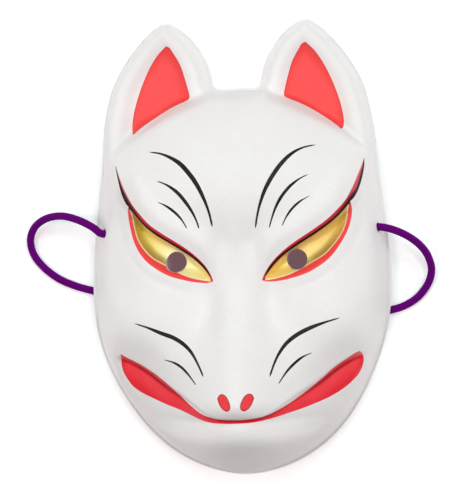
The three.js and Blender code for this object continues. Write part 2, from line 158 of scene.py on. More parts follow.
# How far the profile spreads to each side: y and distance
MUZZLE_WIDTH = [
    (-126, 30), (-100, 30), (-90, 27), (-80, 26), (-60, 25), (-50, 22.5), (-40, 19.5), (-30, 16.5),
    (-20, 14), (-10, 13), (0, 14), (10, 20), (30, 40), (60, 50), (90, 60),
]
# The crease between the lips: distance from the middle and y
CREASE = [
    (0, -88.7), (12, -88.3), (18, -86), (25, -82.2), (31, -78.9), (37, -75.8), (43, -71.9), (49, -67.3),
    (55, -63.4), (61, -60.8), (68, -58.8),
]
# The cord from the left hole to the right one, as in its solid
CORD_ROUTE = [
    (-78.5, 12.7, 28.4), (-87, 16.8, 25), (-97.1, 19.2, 19), (-107.2, 17.8, 12.5), (-114.3, 13.1, 7.5),
    (-117.1, 6.7, 4.5), (-116.1, -0.7, 2.8), (-110.8, -8.3, 2.3), (-102.5, -15, 2.3),
    (-93.2, -19.3, 2.3), (-83, -22.4, 2.3), (-64, -27.5, 2.3), (-40, -32, 2.3), (-14, -35.5, 2.3),
    (14, -38, 2.3), (40, -39.2, 2.3), (62, -38.6, 2.3), (80.6, -36.4, 2.3), (88.7, -34, 2.3),
    (96, -29.4, 2.3), (101.4, -22.4, 3.2), (103.4, -15.4, 6), (102.2, -9, 10.5), (98.4, -2.6, 16),
    (91.6, 3.1, 21.4), (83.8, 7, 24.4),
]

# Painted outlines. The eyes' are measured from the skewed middle line, the ears' panels' and the
# nostrils' from the shifted one, and the lips' and strokes' from the mask's own.
LID_TOP = [
    (12.8, -17.6), (13.6, -15.2), (16.6, -10), (20.6, -5.4), (27, 0), (33, 4), (39.3, 8), (46.2, 12.9),
    (51.4, 18), (56, 23.4), (59, 28.7), (61.5, 34), (63.8, 39.5), (66.5, 46.2),
]
WING_UNDER = [
    (58.5, 22.6), (59.9, 24.1), (61.5, 27), (62.9, 31.2), (64.4, 36.9), (65.6, 41.6), (66.5, 46.2),
]
RED_INSIDE = [
    (13.6, -17.75), (19, -17), (25.5, -15.4), (32.6, -12.4), (39.3, -8.6), (45.3, -5), (50.2, 0),
    (54.2, 6), (56.5, 13), (57.3, 18), (57.8, 21.8),
]
EAR_PANEL = [
    (37.89, 109.75), (42.39, 105.35), (46.89, 98.75), (51.39, 89.55), (54.89, 80.05), (56.89, 72.05),
    (57.49, 65.05), (56.29, 62.15), (53.69, 64.35), (48.39, 68.45), (41.39, 73.05), (33.89, 77.05),
    (27.89, 79.65), (25.69, 81.25), (26.49, 86.55), (27.89, 91.85), (30.49, 99.85), (34.09, 106.15),
    (36.09, 109.05),
]
NOSTRIL = [
    (9.45, -76.9), (8.35, -74.9), (6.65, -74.4), (4.75, -75.4), (3.25, -77.8), (2.45, -80.1),
    (2.75, -82.2), (4.25, -83.2), (6.05, -82.5), (7.95, -80.5),
]
LIP_TOP = [
    (-63.2, -55.25), (-59.4, -57.45), (-52.3, -60.85), (-46.7, -64.25), (-41, -68.25), (-35.5, -72.85),
    (-31.41, -76.64), (-27.02, -80.46), (-22.49, -83.54), (-18.19, -85.96), (-12.6, -87.65),
    (-5.5, -88.25), (-1.1, -88.35), (4.9, -88.25), (11.4, -87.35), (17.6, -85.76), (23.72, -83.27),
    (29.92, -79.72), (36.4, -75.45), (43.2, -70.05), (50.1, -64.15), (56.9, -59.65), (61, -57.05),
    (63.7, -56.15),
]
LIP_LOW = [
    (-63.2, -55.25), (-63.5, -61.05), (-62.5, -65.85), (-60.7, -69.25), (-57.9, -72.95), (-53, -76.35),
    (-45.8, -79.55), (-38.7, -82.45), (-31.31, -84.74), (-24.03, -87.28), (-18.39, -89.26),
    (-14.1, -90.05), (-5.7, -90.25), (-0.9, -90.15), (8.5, -89.85), (14.8, -89.15), (21.07, -87.9),
    (27.36, -86.47), (33.7, -84.95), (40.3, -82.85), (47, -80.25), (53.8, -76.55), (59.3, -72.35),
    (62.7, -68.85), (64.7, -65.35), (65.6, -61.15), (65, -57.95), (63.7, -56.15),
]
# Brush strokes: the mark's full width, then its path from the outer end to the inner one
STROKES = [
    (2.45, [(-44.96, 51.29), (-38.86, 50.19), (-33.16, 47.79), (-28.06, 44.49), (-23.16, 39.19),
        (-18.96, 33.09), (-15.46, 25.79), (-12.96, 18.59), (-11.36, 10.79)]),
    (2.25, [(43.3, 52.76), (36.8, 51.36), (30.9, 48.36), (25.5, 43.26), (20.7, 36.76), (16.7, 29.66),
        (13.8, 22.06), (12.1, 15.56), (11, 9.56)]),
    (1.9, [(-40.36, 35.69), (-34.86, 33.29), (-29.36, 29.19), (-25.26, 24.29), (-21.76, 18.79),
        (-19.56, 13.99), (-18.36, 9.89)]),
    (1.65, [(39.3, 37.16), (34.3, 34.66), (29.4, 30.86), (25.2, 25.96), (22.1, 20.66), (19.8, 14.76),
        (18.2, 9.46)]),
    (1.4, [(-40.06, 24.59), (-35.76, 22.49), (-31.56, 19.39), (-27.96, 15.69), (-24.56, 10.29)]),
    (1.25, [(39.5, 25.76), (34.6, 23.06), (30.3, 19.26), (27.3, 15.16), (24.8, 10.36)]),
    (2.2, [(-53.84, -38.7), (-46.74, -41), (-39.44, -44.1), (-33.34, -46.5), (-27.94, -49.9),
        (-23.74, -54.1), (-20.14, -59.9), (-16.84, -66.5)]),
    (2.2, [(53.9, -37.9), (45.8, -40.1), (37.8, -43), (31.1, -46.4), (25.8, -50.5), (21.8, -55.9),
        (19.3, -61.2), (17.3, -67)]),
    (1.4, [(-38.64, -58.1), (-33.64, -59.5), (-29.44, -61.8), (-25.94, -65), (-21.04, -70.8)]),
    (1.4, [(39.1, -55.8), (34.1, -57.8), (29.5, -61.2), (25.6, -65.2), (21.6, -70.9)]),
]


# Small mathematics


def ease(t):
    u = np.clip(t, 0, 1)
    return u * u * u * (u * (6 * u - 15) + 10)


def rise(value, start, end):
    """0 up to the start, 1 from the end on, and smooth between them, in either direction."""
    return ease((value - start) / (end - start))


def soft_min(a, b, radius):
    overlap = np.maximum(radius - np.abs(a - b), 0) / radius
    return np.minimum(a, b) - overlap * overlap * radius / 4


def soft_max(a, b, radius):
    return -soft_min(-a, -b, radius)


def lump(x, y, middle_x, middle_y, half_width, half_length, degrees):
    """A round bump with a height of 1 in its middle."""
    c, s = math.cos(math.radians(degrees)), math.sin(math.radians(degrees))
    across = ((x - middle_x) * c + (y - middle_y) * s) / half_width
    along = (-(x - middle_x) * s + (y - middle_y) * c) / half_length
    return np.exp(-(across * across + along * along))


def value_at(rows, t):
    """The value at t of a smooth curve through rows of (t, value)."""
    place, value = np.array(rows, float).T
    slope = np.zeros_like(value)
    slope[1:-1] = (value[2:] - value[:-2]) / (place[2:] - place[:-2])
    at = np.clip(t, place[0], place[-1])
    i = np.clip(np.searchsorted(place, at, side="right") - 1, 0, len(place) - 2)
    span = place[i + 1] - place[i]
    s = (at - place[i]) / span
    share = s * s * (3 - 2 * s)
    leave = s * (1 - s) * (1 - s) * span
    arrive = s * s * (s - 1) * span
    return value[i] * (1 - share) + value[i + 1] * share + slope[i] * leave + slope[i + 1] * arrive


def circle(count):
    """The angles of evenly spaced points on a circle."""
    return np.arange(count) * 2 * math.pi / count


def unit(rows):
    return rows / np.linalg.norm(rows, axis=1)[:, None]


def run_of(line):
    """The length of a line up to each of its points."""
    return np.concatenate([[0], np.cumsum(np.linalg.norm(np.diff(line, axis=0), axis=1))])


def smooth_line(points, steps):
    """A centripetal Catmull-Rom curve through the points, with some steps to each span."""
    p = np.array(points, float)
    p = np.vstack([2 * p[0] - p[1], p, 2 * p[-1] - p[-2]])
    out = []
    for a, b, c, d in zip(p, p[1:], p[2:], p[3:]):
        t1 = np.linalg.norm(b - a) ** 0.5
        t2 = t1 + np.linalg.norm(c - b) ** 0.5
        t3 = t2 + np.linalg.norm(d - c) ** 0.5
        t = np.linspace(t1, t2, steps, endpoint=False)[:, None]
        ab = ((t1 - t) * a + t * b) / t1
        bc = ((t2 - t) * b + (t - t1) * c) / (t2 - t1)
        cd = ((t3 - t) * c + (t - t2) * d) / (t3 - t2)
        ac = ((t2 - t) * ab + t * bc) / t2
        bd = ((t3 - t) * bc + (t - t1) * cd) / (t3 - t1)
        out.append(((t2 - t) * ac + (t - t1) * bd) / (t2 - t1))
    return np.vstack(out + [p[-2:-1]])


def resampled(line, spacing, closed=False):
    """The same line with evenly spaced points."""
    full = np.vstack([line, line[:1]]) if closed else line
    run = run_of(full)
    count = max(int(round(run[-1] / spacing)), 2)
    at = np.linspace(0, run[-1], count + 1)
    out = np.column_stack([np.interp(at, run, values) for values in full.T])
    return out[:-1] if closed else out


def distance_to(line, x, y, closed=False):
    """How far each point is from a line."""
    best = np.full(np.shape(x), 1e12)
    for i in range(len(line) if closed else len(line) - 1):
        (ax, ay), (bx, by) = line[i], line[(i + 1) % len(line)]
        ex, ey = bx - ax, by - ay
        t = np.clip(((x - ax) * ex + (y - ay) * ey) / (ex * ex + ey * ey or 1), 0, 1)
        best = np.minimum(best, (x - ax - t * ex) ** 2 + (y - ay - t * ey) ** 2)
    return np.sqrt(best)


def is_inside(line, x, y):
    """Whether each point lies inside a closed line."""
    out = np.zeros(np.shape(x), bool)
    for (ax, ay), (bx, by) in zip(line, np.roll(line, 1, axis=0)):
        if ay != by:
            out ^= ((ay > y) != (by > y)) & (x < ax + (y - ay) / (by - ay) * (bx - ax))
    return out


def sideways(line, offset):
    """A flat line moved to its left by the offset."""
    along = unit(np.gradient(line, axis=0))
    return line + offset * np.column_stack([-along[:, 1], along[:, 0]])


def skew_at(away, y):
    """How far to the right a feature sits at a distance from the middle line and a y."""
    return SKEW * rise(away, 0, 20) + EYE_END_SKEW * rise(away, 40, 58) * rise(y, -5, 15)


def skewed(line, sign):
    """A line of the right half, as it lies on the right (sign 1) or the left (sign -1)."""
    return np.column_stack([sign * line[:, 0] + skew_at(*line.T), line[:, 1]])


def on_both_sides(line):
    return np.vstack([skewed(line, 1), skewed(line, -1)])


def side_of(x, y):
    """The distance from the skewed middle line."""
    return np.abs(x) - np.sign(x) * skew_at(np.abs(x), y)


# Lines of the face


def rim_shift(y):
    return -JAW_LEAN * np.exp(-(((y + 62) / 28) ** 2)) - EAR_LEAN * rise(y, 48, 73)


half_rim = smooth_line(HALF_RIM + [(-19.7, -121.6)], 7)[:-8]
half_rim = np.vstack([half_rim, HALF_RIM[-1:]])
outline = np.vstack([half_rim, (half_rim[:-1] * (-1, 1))[::-1]])
outline[:, 0] += rim_shift(outline[:, 1])
upper_lid = smooth_line(UPPER_LID, 4)
lower_lid = smooth_line(LOWER_LID, 4)
socket = np.vstack([upper_lid, lower_lid[1:-1][::-1]])
brow_edge = smooth_line(UPPER_LID + WING + FOREHEAD_EDGE, 4)
below_brow = np.vstack([brow_edge, [(0, 140), (120, 140), (120, -60), (12, -60)]])
ear_panel = smooth_line(EAR_PANEL + EAR_PANEL[:1], 5)[:-1]
nostril = smooth_line(NOSTRIL + NOSTRIL[:1], 4)[:-1]


# Heights of the face, worked out as in the solids, with a finer edge at the rim and at the lids


def arch(_, y):
    """How far the rim's underside lifts."""
    return ARCH_HEIGHT * rise(y, -68, -22) * rise(y, 82, 32)


def side_wall(x, y, inward):
    run = np.maximum(inward - FLANGE_WIDTH, 0)
    temple = TEMPLE_RUN * rise(y, -62, -28) * rise(y, 70, 30)
    reach = WALL_RUN + temple - CHIN_RUN * rise(y, -86, -100) * (1 - rise(np.abs(x), 0, 36))
    wall = arch(x, y) * np.exp(-run / ARCH_FADE) + FLANGE_HEIGHT
    wall = wall + WALL_RISE * (1 - np.exp(-run / reach)) + WALL_SLOPE * run
    return wall - RIM_ROUNDING * (1 - np.clip(inward / 0.5, 0, 1)) ** 2


def shelf(y, inward):
    hollow = EAR_HOLLOW * rise(inward, 8, 20) * rise(y, 48, 64)
    return SHELF_HEIGHT + TEMPLE_LIFT * rise(y, 60, 30) - hollow


def dome(x, y):
    length = np.where(y > DOME_CENTRE_Y, DOME_RADIUS, DOME_LENGTH_DOWN)
    reach = np.hypot(x / DOME_RADIUS, (y - DOME_CENTRE_Y) / length)
    return DOME_HEIGHT * np.sqrt(np.maximum(1 - reach**4, 0) + 1e-4)


def above_crease(x, y):
    """How far above the crease between the lips a point lies, measured square to it."""
    slope = value_at(CREASE, x + 0.5) - value_at(CREASE, np.maximum(x - 0.5, 0))
    return (y - value_at(CREASE, x)) / np.sqrt(1 + slope * slope)


def mouth(x, y):
    above = above_crease(x, y)
    cheek = rise(x, 6, 40)
    groove = LIP_GROOVE + (LIP_GROOVE_SIDE - LIP_GROOVE) * cheek
    sink = MOUTH_SINK * rise(x, 14, 54)
    jaw = JAW_DROP * cheek
    corner = 1 - rise(x, 60, 70)
    steep_side = 1 - ease(above / (LIP_EDGE + LIP_EDGE_WIDENING * cheek))
    cheek_side = (1 - rise(above, -3, 20)) / (1 - rise(0, -3, 20))
    lip_width = LIP_WIDTH + LIP_WIDENING * cheek
    roll = np.sin(np.clip(-above / lip_width, 0, 1) * math.pi / 2)
    below = np.clip(-above - lip_width, 0, 32)
    curl = JAW_CURL * np.maximum(below - 10, 0) ** 2
    jaw_roll = jaw * (JAW_ROLL * below * rise(below, 0, 8) + curl)
    upper = -(groove * steep_side + sink * cheek_side)
    lower = (groove + sink - jaw) * roll - groove - sink - jaw_roll
    return corner * np.where(above > 0, upper, lower)


def face(x, y):
    middle = value_at(PROFILE, y) - dome(0 * x, y)
    across = x / value_at(MUZZLE_WIDTH, y)
    z = dome(x, y) + middle * np.exp(-across * across)
    side = side_of(x, y)
    for height, *shape in RISES:
        z = z + height * lump(side, y, *shape)
    z = z - TEMPLE_DROP * rise(side, 44, 74) * rise(y, -44, 10) * (1 - rise(y, 5, 47))
    from_edge = distance_to(brow_edge, side, y) * np.where(is_inside(below_brow, side, y), 1, -1)
    z = z - BROW_STEP * rise(from_edge, 0, 4) * rise(side, 30, 50) * rise(y, -20, 20)
    along_edge = rise(side, 10, 24) * rise(y, 46, 60) * (1 - 0.6 * rise(side, 42, 58))
    z = z - FOREHEAD_STEP * rise(from_edge, -3, 6) * along_edge
    across_brow = rise(side, 8, 18) * (1 - rise(side, 48, 68))
    along_brow = rise(y, -24, -10) * (1 - rise(y, 30, 50))
    z = z + BROW_SWELL * across_brow * along_brow * np.exp(-(((from_edge + 8) / 6) ** 2))
    from_lower = distance_to(lower_lid, side, y)
    in_socket = is_inside(socket, side, y)
    fold = EYE_FOLD * np.exp(-(((from_lower - 5.5) / 2.2) ** 2)) * rise(side, 20, 32)
    z = z - np.where(~in_socket & (from_edge > 0), fold, 0)
    outer = rise(side, 32, 58)
    depth = SOCKET_DEPTH_INNER * (1 - outer) + SOCKET_DEPTH_OUTER * outer
    depth = depth * ease(distance_to(upper_lid, side, y) / LID_EDGE) * ease(from_lower / 7.5)
    return z - np.where(in_socket, depth, 0) + mouth(side, y)


def dips(x, y):
    """The small relief inside the ears' panels and the nostrils."""
    out = np.zeros(np.shape(x))
    away = np.abs(x - PAINT_SHIFT)
    panels = ((ear_panel, PANEL_DEPTH, PANEL_SLOPE), (nostril, NOSTRIL_DEPTH, NOSTRIL_SLOPE))
    for line, depth, slope in panels:
        near = is_inside(line, away, y)
        inward = distance_to(line, away[near], y[near], True)
        out[near] = depth * ease(inward / slope)
    return out


def plain_height(x, y):
    """The outer surface without the dips."""
    inward = np.where(is_inside(outline, x, y), distance_to(outline, x, y, True), 0)
    blend = 3 + 7 * rise(y, 45, 20)
    return soft_min(side_wall(x, y, inward), soft_max(face(x, y), shelf(y, inward), blend), 8)


grid_x = np.arange(-88, 88 + GRID, GRID)
grid_y = np.arange(-130, 130 + GRID, GRID)
grid_z = plain_height(*np.meshgrid(grid_x, grid_y))


def from_grid(x, y):
    """The outer surface again, read quickly from the grid."""
    i = np.clip((x - grid_x[0]) / GRID, 0, len(grid_x) - 1.001)
    j = np.clip((y - grid_y[0]) / GRID, 0, len(grid_y) - 1.001)
    a, b = i.astype(int), j.astype(int)
    u, v = i - a, j - b
    low = grid_z[b, a] * (1 - u) + grid_z[b, a + 1] * u
    high = grid_z[b + 1, a] * (1 - u) + grid_z[b + 1, a + 1] * u
    return low * (1 - v) + high * v


def inner_height(x, y):
    """The hollow's ceiling, which keeps the whole wall's thickness under the face."""
    lowest = np.full(np.shape(x), 1e9)
    for part in (0, 0.45, 0.75, 0.95):
        reach = part * WALL
        for angle in np.arange(1 if part == 0 else 12) * (math.pi / 6):
            z = from_grid(x + reach * math.cos(angle), y + reach * math.sin(angle))
            lowest = np.minimum(lowest, z - math.sqrt(WALL * WALL - reach * reach))
    return lowest


# The holes for the cord, one in each side wall


class CordHole:
    """A drilled hole: the point of the wall that it goes through, and the wall's direction there."""

    def __init__(self, sign):
        x = sign * CORD_HOLE_X + SKEW
        left, here, right = plain_height(x + np.array([-0.4, 0, 0.4]), np.full(3, CORD_HOLE_Y))
        fall = (left - right) / 0.8
        self.point = np.array([x, CORD_HOLE_Y, here])
        self.out = np.array([fall, 0, 1]) / math.hypot(fall, 1)
        self.across = np.array([0, 1.0, 0])
        self.up = np.cross(self.out, self.across)

    def axis_point(self, out):
        return self.point + out * self.out

    def loop(self, height):
        """Where the hole meets a surface, found by halving the stretch that it lies in."""
        angle = circle(CORD_HOLE_POINTS)
        around = np.outer(np.cos(angle), self.across) + np.outer(np.sin(angle), self.up)
        start = self.point + CORD_HOLE_RADIUS * around
        low, high = np.full(len(angle), -9.0), np.full(len(angle), 9.0)
        for _ in range(40):
            half = (low + high) / 2
            p = start + half[:, None] * self.out
            below = p[:, 2] < height(*p.T[:2])
            low, high = np.where(below, half, low), np.where(below, high, half)
        return start + low[:, None] * self.out


cord_holes = {"left": CordHole(-1), "right": CordHole(1)}
hole_outside = [hole.loop(plain_height) for hole in cord_holes.values()]
hole_inside = [hole.loop(inner_height) for hole in cord_holes.values()]


# Meshing


def lifted(flat, height):
    """Flat points with the heights that a surface has at them."""
    return np.column_stack([flat, height(*flat.T)])


class Patch:
    """A sheet's points, with the borders and painted lines that its triangles keep."""

    def __init__(self):
        self.points = np.zeros((0, 2))
        self.edges = []

    def line(self, points, closed=False):
        start = len(self.points)
        self.points = np.vstack([self.points, points])
        count = len(points)
        self.edges += [(start + i, start + i + 1) for i in range(count - 1)]
        if closed:
            self.edges.append((start + count - 1, start))

    def scatter(self, points, spacing, border):
        """Adds the points inside the border that lie far enough from those already there."""
        tree = KDTree(len(self.points))
        for i, (x, y) in enumerate(self.points):
            tree.insert((x, y, 0), i)
        tree.balance()
        points = points[is_inside(border, *points.T)]
        apart = [tree.find((x, y, 0))[2] >= spacing for x, y in points]
        self.points = np.vstack([self.points, points[apart]])

    def triangles(self, border, holes):
        """The triangles inside the border and outside the holes, as places and corners."""
        made = delaunay_2d_cdt([Vector(p) for p in self.points], self.edges, [], 0, 1e-6)
        places = np.array([tuple(v) for v in made[0]])
        corners = np.array(made[2])
        middle = places[corners].mean(1)
        keep = is_inside(border, *middle.T)
        for hole in holes:
            keep &= ~is_inside(hole, *middle.T)
        corners = corners[keep]
        (ax, ay), (bx, by), (cx, cy) = (places[corners[:, k]].T for k in range(3))
        turn = (bx - ax) * (cy - ay) - (by - ay) * (cx - ax)
        corners[turn < 0] = corners[turn < 0][:, ::-1]
        return places, corners[np.abs(turn) > 1e-9]


def field(spacing):
    """A staggered field of points over the whole mask, each a little off its place."""
    row, column = np.meshgrid(np.arange(-150, 151), np.arange(-100, 101), indexing="ij")
    x = spacing * (column + 0.5 * (row % 2)) + 0.05 * spacing * np.sin(7.0 * row + 3.0 * column)
    y = spacing * math.sqrt(0.75) * row + 0.05 * spacing * np.sin(5.0 * row - 11.0 * column)
    return np.column_stack([x.ravel(), y.ravel()])


def inset(line, inward):
    """A closed line moved inward, without the points that come too close to another stretch."""
    along = unit(np.roll(line, -1, axis=0) - np.roll(line, 1, axis=0))
    moved = line + inward * np.column_stack([along[:, 1], -along[:, 0]])
    clear = distance_to(line, *moved.T, closed=True) > 0.95 * inward
    return moved[clear & is_inside(line, *moved.T)]


def even_line(points, steps=8, spacing=PAINT_SPACING):
    return resampled(smooth_line(points, steps), spacing)


def stroke_outline(width, path):
    """A brush mark that swells from a thin start, thins again and ends a little blunt."""
    line = even_line(path, spacing=0.7)
    t = np.linspace(0, 1, len(line))
    swell = (0.34 + 0.66 * ease(t / 0.42)) * (1 - 0.55 * ease((t - 0.45) / 0.55))
    ends = np.clip(t / 0.05, 0, 1) ** 0.7 * np.clip((1 - t) / 0.04, 0, 1) ** 0.5
    half = 0.5 * width * (swell * ends)[:, None]
    return np.vstack([sideways(line, half), sideways(line, -half)[1:-1][::-1]])


PAINTED = ["shell", "ear", "lid", "gold", "lower_lid", "mouth", "nostril", "ink", "inside"]
lid_line = even_line(UPPER_LID)
low_line = even_line(LOWER_LID)
lid_top = even_line(LID_TOP)
wing_under = even_line(WING_UNDER)
red_inside = even_line(RED_INSIDE)
lip_top = even_line(LIP_TOP, 6)
lip_low = even_line(LIP_LOW, 6)
red_band = np.vstack([low_line, red_inside[::-1]])
bulge = WING_BULGE * np.sin(math.pi * np.linspace(0, 1, len(wing_under)) ** 1.3)[:, None]
full_wing = np.vstack([lid_line, sideways(wing_under, -bulge)[1:], lid_top[1:-1][::-1]])
slim_wing = np.vstack([lid_line, wing_under[1:-2], lid_top[1:-2][::-1]])
gold_eye = np.vstack([lid_line, low_line[1:-1][::-1]])

regions = []
for sign in (-1, 1):
    regions.append(("gold", skewed(gold_eye, sign)))
    regions.append(("lower_lid", skewed(red_band, sign)))
    regions.append(("lid", skewed(full_wing if sign > 0 else slim_wing, sign)))
    for name, line in (("ear", ear_panel), ("nostril", nostril)):
        polygon = resampled(line, PAINT_SPACING, True) * (sign, 1) + (PAINT_SHIFT, 0)
        regions.append((name, polygon))
regions.append(("mouth", np.vstack([lip_top, lip_low[1:-1][::-1]])))
regions += [("ink", stroke_outline(width, path)) for width, path in STROKES]

turn = circle(PUPIL_POINTS)
pupil = PUPIL_RADIUS * np.column_stack([np.cos(turn), np.sin(turn)])
pupils = [pupil + (sign * PUPIL_X, PUPIL_Y) for sign in (-1, 1)]
fine_outline = resampled(outline, RIM_SPACING, True)
holes_outside = [loop[:, :2] for loop in hole_outside]
holes_inside = [loop[:, :2] for loop in hole_inside]

outer = Patch()
outer.line(fine_outline, True)
for loop in pupils + holes_outside:
    outer.line(loop, True)
for _, polygon in regions:
    outer.line(polygon, True)
# Rows of points inside the rim, closer together near its edge
for inward in (0.25, 0.5, 0.8, FLANGE_WIDTH, 1.5, 1.9, 2.4, 3, 3.7, 4.5, 5.5, 6.7, 8, 9.5):
    outer.scatter(inset(fine_outline, inward), min(0.5, 0.22 + 0.1 * inward), outline)
# Rows of points beside a line: the line, how far to its left they lie, and their least spacing
near_lid = even_line(UPPER_LID, spacing=0.7)
near_edge = even_line(UPPER_LID[-1:] + WING + FOREHEAD_EDGE, 6, 0.9)
crease_x = np.arange(0, 68, PAINT_SPACING)
crease_line = np.column_stack([crease_x, value_at(CREASE, crease_x)])
rows = [(near_lid, -d, 0.28) for d in (0.35, 0.7, 1.05, 1.4, 1.8, 2.3)]
rows += [(crease_line, d, 0.35) for d in (0, 0.5, 1.0, 1.6, 2.3, 3.1, -0.5, -1.0, -1.7)]
rows += [(near_edge, d, 0.5) for d in (0, 0.9, 1.8, 2.7, -0.9, -1.8, -2.7, -3.6)]
rows += [(low_line, d, 0.5) for d in (0.8, 1.6)]
for line, offset, spacing in rows:
    outer.scatter(on_both_sides(sideways(line, offset)), spacing, outline)
outer.scatter(field(1.05), 0.62, outline)
outer_xy, outer_faces = outer.triangles(outline, pupils + holes_outside)
outer_points = np.column_stack([outer_xy, plain_height(*outer_xy.T) - dips(*outer_xy.T)])


def loops_of(faces):
    """The border loops of some triangles, as lists of corners."""
    sides = np.vstack([faces[:, [0, 1]], faces[:, [1, 2]], faces[:, [2, 0]]])
    known = set(map(tuple, sides.tolist()))
    following = {a: b for a, b in known if (b, a) not in known}
    loops = []
    while following:
        start, now = following.popitem()
        loop = [start]
        while now != start:
            loop.append(now)
            now = following.pop(now)
        loops.append(loop)
    return loops


border_loops = loops_of(outer_faces)
sizes = [np.ptp(outer_xy[loop][:, 1]) for loop in border_loops]
rim_loop = border_loops[int(np.argmax(sizes))]
pupil_loops = [loop for loop, size in zip(border_loops, sizes) if 8 < size < 50]
pupils_inside = [outer_xy[loop] for loop in pupil_loops]
rim_xy = outer_xy[rim_loop]

inner = Patch()
coarse_outline = resampled(outline, INNER_RIM_SPACING, True)
inner_rim = inset(coarse_outline, RIM_INSET)
inner.line(inner_rim, True)
for loop in pupils_inside + holes_inside:
    inner.line(loop, True)
for inward in (3.4, 4.2, 5.2, 6.5, 8.2, 10.2):
    inner.scatter(inset(coarse_outline, inward), 0.6, inner_rim)
for line, offset, _ in rows[:6:2] + rows[6:15:3]:
    inner.scatter(on_both_sides(sideways(line[::2], offset)), 0.6, inner_rim)
inner.scatter(field(2.2), 1.3, inner_rim)
inner_xy, inner_faces = inner.triangles(inner_rim, pupils_inside + holes_inside)
inner_points = lifted(inner_xy, inner_height)

under = Patch()
under.line(rim_xy, True)
under.line(inner_rim, True)
under_xy, under_faces = under.triangles(rim_xy, [inner_rim])
under_points = lifted(under_xy, arch)

all_points, all_faces, all_paint = [], [], []


def add_sheet(points, faces, paint):
    """Adds triangles to the mask, with one finish for all of them or one for each."""
    start = sum(len(p) for p in all_points)
    all_points.append(points)
    all_faces.append(np.asarray(faces) + start)
    all_paint.append(np.broadcast_to(paint, len(faces)))


def add_band(first, second, paint):
    """Quads between two closed rings of points, as triangles."""
    count = len(first)
    i = np.arange(count)
    j = (i + 1) % count
    faces = np.vstack([np.column_stack([i, j, j + count]), np.column_stack([i, j + count, i + count])])
    add_sheet(np.vstack([first, second]), faces, paint)


outer_paint = np.zeros(len(outer_faces), int)
centre = outer_xy[outer_faces].mean(1)
for name, polygon in regions:
    low, high = polygon.min(0), polygon.max(0)
    close = np.flatnonzero(np.all((centre > low) & (centre < high), axis=1))
    within = close[is_inside(polygon, *centre[close].T)]
    outer_paint[within] = PAINTED.index(name)
INSIDE = PAINTED.index("inside")
add_sheet(outer_points, outer_faces, outer_paint)
add_sheet(inner_points, inner_faces[:, ::-1], INSIDE)
add_sheet(under_points, under_faces[:, ::-1], 0)
add_band(lifted(rim_xy, arch), outer_points[rim_loop], 0)
add_band(lifted(inner_rim, inner_height), lifted(inner_rim, arch), INSIDE)
for loop, ring in zip(pupil_loops, pupils_inside):
    add_band(lifted(ring, inner_height), outer_points[loop], 0)
for within, without in zip(hole_inside, hole_outside):
    add_band(within, without, 0)


def add_object(name, data):
    made = bpy.data.objects.new(name, data)
    scene.collection.objects.link(made)
    return made


def mesh_object(name, points, faces):
    mesh = bpy.data.meshes.new(name)
    mesh.from_pydata((np.asarray(points) * MM).tolist(), [], faces)
    return add_object(name, mesh)


def attribute(mesh, name, values):
    layer = mesh.attributes.new(name, "FLOAT", "POINT")
    layer.data.foreach_set("value", np.ascontiguousarray(values, dtype=np.float32))


def shade_smooth(mesh):
    mesh.polygons.foreach_set("use_smooth", np.ones(len(mesh.polygons), bool))


mask = mesh_object("mask_face", np.vstack(all_points), np.vstack(all_faces).tolist())
mask.data.polygons.foreach_set("material_index", np.concatenate(all_paint).astype(np.int32))
work = bmesh.new()
work.from_mesh(mask.data)
bmesh.ops.remove_doubles(work, verts=work.verts, dist=1.5e-6)
bmesh.ops.recalc_face_normals(work, faces=work.faces)
work.to_mesh(mask.data)
work.free()
shade_smooth(mask.data)
mask.data.set_sharp_from_angle(angle=math.radians(55))

place = np.zeros(len(mask.data.vertices) * 3)
mask.data.vertices.foreach_get("co", place)
x, y, _ = place.reshape(-1, 3).T / MM
side = side_of(x, y)
lid_and_wing = np.vstack([lid_line, wing_under[1:]])
above = is_inside(np.vstack([lid_and_wing, [(80, 60), (0, 60), (0, -17.6)]]), side, y)
measures = {
    "above_lid": distance_to(lid_and_wing, side, y) * np.where(above, 1, -1),
    "below_band": distance_to(lid_top, side, y),
    "outward": side,
    "above_red": distance_to(red_inside, side, y),
    "above_crease": above_crease(side, y),
    "inside_ear": distance_to(ear_panel, np.abs(x - PAINT_SHIFT), y, True),
    "inside_nostril": distance_to(nostril, np.abs(x - PAINT_SHIFT), y, True),
}
for name, values in measures.items():
    attribute(mask.data, name, values)


# The cord and its knots


def tube(path, radius, around, relief=None):
    """Rings of points along a path, closed at both ends, with each point's run and turn."""
    along = unit(np.gradient(path, axis=0))
    run = run_of(path)
    out = np.cross(along[0], (0.3, 0.2, 1.0))
    rings = []
    angle = circle(around)
    for p, t, s in zip(path, along, run):
        out = out - np.dot(out, t) * t
        out /= np.linalg.norm(out)
        other = np.cross(t, out)
        r = np.broadcast_to(radius, around) if relief is None else radius + relief(angle, s)
        rings.append(p + r[:, None] * (np.outer(np.cos(angle), out) + np.outer(np.sin(angle), other)))
    count = len(path)
    i, j = np.meshgrid(np.arange(count - 1), np.arange(around), indexing="ij")
    a, b = (i * around + j).ravel(), (i * around + (j + 1) % around).ravel()
    faces = np.column_stack([a, b, b + around, a + around]).tolist()
    faces.append(list(range(around))[::-1])
    faces.append([(count - 1) * around + k for k in range(around)])
    return np.vstack(rings), faces, np.repeat(run, around), np.tile(angle, count)


YARNS = 6  # in each direction round the cord
YARN_TWIST = 2.4  # radians of turn for each millimetre


def strands(angle, run):
    """The plaited cover: two sets of yarns that wind round the cord and pass over each other."""
    over = np.cos(YARNS * angle + YARN_TWIST * run) * np.cos(YARNS * angle - YARN_TWIST * run)
    return 0.04 + 0.07 * over


